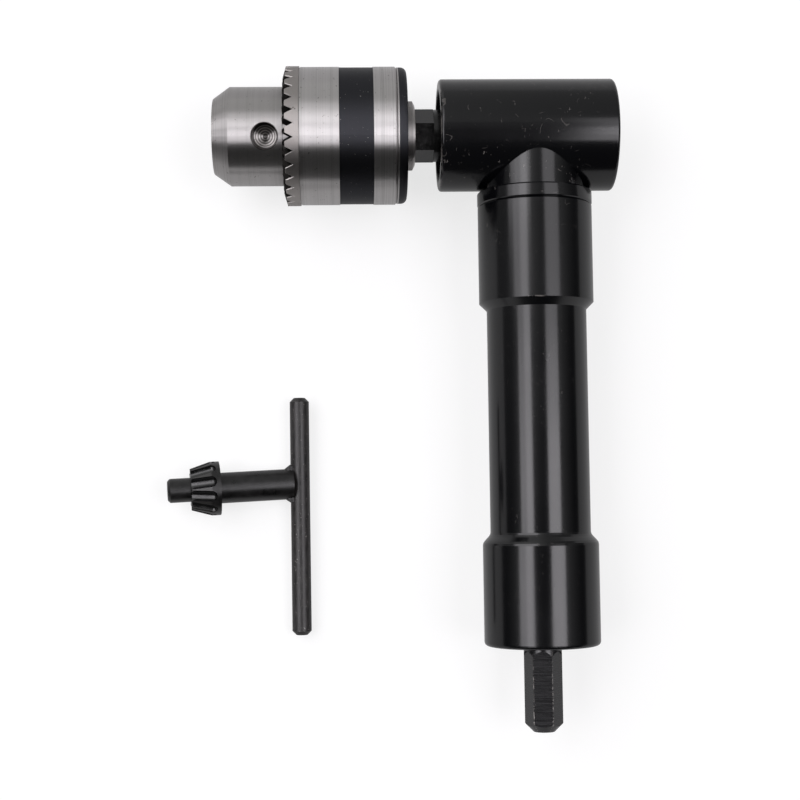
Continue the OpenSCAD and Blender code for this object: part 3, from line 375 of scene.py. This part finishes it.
def plain_metal(name, colour, rough, per_metre=700.0, metal=1.0):
    """Ground or cast metal inside the casing: an even colour with fine grain and faint stains."""
    material, tree, shader = finish(name, Metallic=metal)
    coords = place_on_part(tree)
    fine = grain(tree, coords, per_metre * 4.0)
    stain = grain(tree, coords, per_metre * 0.3)
    dim = tuple(0.72 * part for part in colour)
    tree.links.new(blend(tree, stain, colour, dim), shader.inputs["Base Color"])
    tree.links.new(spread(tree, fine, 0.2, 0.8, rough - 0.06, rough + 0.08), shader.inputs["Roughness"])
    tree.links.new(bump(tree, fine, 0.004 * MM, 0.4), shader.inputs["Normal"])
    return material


# ---------------------------------------------------------------- table and light

def lay_table():
    """A pale table under the tool. The camera sees it white, mirrors see it paler than it is lit, and
    it keeps the tool's shadow."""
    mesh = bpy.data.meshes.new("table")
    half = 3.0
    mesh.from_pydata([(-half, -half, TABLE_Z), (half, -half, TABLE_Z), (half, half, TABLE_Z),
                      (-half, half, TABLE_Z)], [], [(0, 1, 2, 3)])
    table = bpy.data.objects.new("table", mesh)
    bpy.context.scene.collection.objects.link(table)
    material = bpy.data.materials.new("pale_table")
    material.use_nodes = True
    tree = material.node_tree
    tree.nodes.clear()
    matt = add(tree, "ShaderNodeBsdfDiffuse", {"Color": (TABLE_GREY,) * 3 + (1.0,)}).outputs[0]
    ray = add(tree, "ShaderNodeLightPath")
    mirrored = sums(tree, "MAXIMUM", ray.outputs["Is Glossy Ray"], ray.outputs["Is Transmission Ray"])
    level = sums(tree, "MAXIMUM", times(tree, ray.outputs["Is Camera Ray"], TABLE_SEEN),
                 times(tree, mirrored, TABLE_MIRRORED))
    glow = add(tree, "ShaderNodeEmission", {"Color": (1.0, 1.0, 1.0, 1.0), "Strength": level}).outputs[0]
    both = add(tree, "ShaderNodeAddShader", {0: matt, 1: glow}).outputs[0]
    add(tree, "ShaderNodeOutputMaterial", {0: both})
    mesh.materials.append(material)


def softbox(name, across, along, level, distance=2.0):
    """An evenly glowing rectangle overhead, as seen from the tool: the angles from straight up that it
    spans across (X) and along (Y), in degrees."""
    spread_x, spread_y = (math.radians(pair[1] - pair[0]) for pair in (across, along))
    lean_x, lean_y = (math.radians(pair[0] + pair[1]) / 2.0 for pair in (across, along))
    width, length = (2.0 * distance * math.tan(angle / 2.0) for angle in (spread_x, spread_y))
    data = bpy.data.lights.new(name, "AREA")
    data.shape = "RECTANGLE"
    data.size, data.size_y = width, length
    data.energy = level * math.pi * width * length
    data.color = (1.0, 0.975, 1.02)
    lamp = bpy.data.objects.new(name, data)
    bpy.context.scene.collection.objects.link(lamp)
    outward = Vector((math.tan(lean_x), math.tan(lean_y), 1.0)).normalized()
    side = Vector((0.0, 1.0, 0.0)).cross(outward).normalized()
    turn = Matrix((side, outward.cross(side), outward)).transposed()
    lamp.matrix_world = Matrix.Translation(TOOL_MIDDLE + distance * outward) @ turn.to_4x4()
    lamp.visible_camera = False


def light_room():
    """A dim room with a paler wall on the chuck's side (+Y), paler to the left, and with faint flanks
    low to the left and right; the camera sees white behind the table."""
    world = bpy.data.worlds.new("room")
    bpy.context.scene.world = world
    world.use_nodes = True
    tree = world.node_tree
    tree.nodes.clear()
    way = add(tree, "ShaderNodeSeparateXYZ", {0: add(tree, "ShaderNodeTexCoord").outputs["Generated"]}).outputs
    wall = spread(tree, way[1], -0.05, 0.35, 0.04, 0.48)
    sides = spread(tree, sums(tree, "ABSOLUTE", way[0]), 0.25, 0.8, 1.0, 0.3)
    left = spread(tree, way[0], -0.35, 0.12, 2.3, 0.75)
    level = times(tree, wall, sides, left)
    flanks = spread(tree, sums(tree, "ABSOLUTE", way[0]), 0.98, 0.70, 0.04, 0.45)
    flanks = times(tree, flanks, sums(tree, "GREATER_THAN", sums(tree, "ABSOLUTE", way[0]), 0.70),
                   spread(tree, way[1], -0.4, -0.15))
    level = sums(tree, "MAXIMUM", level, flanks)
    seen = add(tree, "ShaderNodeLightPath").outputs["Is Camera Ray"]
    sky = add(tree, "ShaderNodeBackground", {"Color": (1.0, 1.0, 1.0, 1.0),
                                             "Strength": sums(tree, "MAXIMUM", level, seen)}).outputs[0]
    add(tree, "ShaderNodeOutputWorld", {0: sky})


# ---------------------------------------------------------------- the tool

def dress():
    """Each node's finish; the pieces keep the shapes that the frame gives them."""
    paint = satin_black_paint()
    oxide = black_oxide("blackened_spindle", (0.0010, 0.0010, 0.0010), (0.006, 0.0058, 0.0058), 0.19)
    shank = black_oxide("milled_shank", (0.003, 0.003, 0.0035), (0.0085, 0.008, 0.0095), 0.25,
                        streak=(0.3, 9.0, 0.3), milled=True)
    shaft_steel = black_oxide("key_shaft_steel", (0.0015, 0.0015, 0.0015), (0.009, 0.0083, 0.0083), 0.32,
                              geared=True)
    bar_steel = black_oxide("key_bar_steel", (0.0012, 0.0011, 0.0011), (0.025, 0.0222, 0.0218), 0.42,
                            streak=(2.2, 0.8, 2.2), scuff=0.635)
    gear = plain_metal("gear_steel", (0.36, 0.35, 0.34), 0.34)
    bearing = plain_metal("bearing_steel", (0.62, 0.62, 0.61), 0.2)
    brass = plain_metal("cage_brass", (0.60, 0.42, 0.16), 0.34)
    rubber = plain_metal("seal_rubber", (0.018, 0.018, 0.019), 0.6, metal=0.0)
    finishes = {
        paint: ["head_housing", "grip_tube"],
        chuck_steel("chuck_body_steel", False): ["chuck_body"],
        chuck_steel("chuck_sleeve_steel", True): ["chuck_sleeve"],
        oxide: ["output_spindle", "front_circlip", "neck_circlip", "tail_circlip", "shaft_circlip"],
        shank: ["input_shaft"],
        shaft_steel: ["key_shaft"],
        bar_steel: ["key_bar"],
        gear: ["output_gear", "input_pinion", "spindle_spacer", "jaw_1", "jaw_2", "jaw_3",
               "nut_half_upper", "nut_half_lower"],
        bearing: ["output_gear_pin", "input_pinion_pin"],
        brass: [],
        rubber: ["front_seal", "tail_seal"],
    }
    for place in ("front", "rear", "neck", "tail"):
        finishes[bearing] += [f"{place}_outer_race", f"{place}_inner_race", f"{place}_balls"]
        finishes[brass].append(f"{place}_cage")
    for material, nodes in finishes.items():
        for name in nodes:
            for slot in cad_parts[name].material_slots:
                slot.material = material


place_camera()
lay_table()
light_room()
for lamp in SOFTBOXES:
    softbox(*lamp)
dress()
bpy.context.scene.view_settings.view_transform = "Standard"
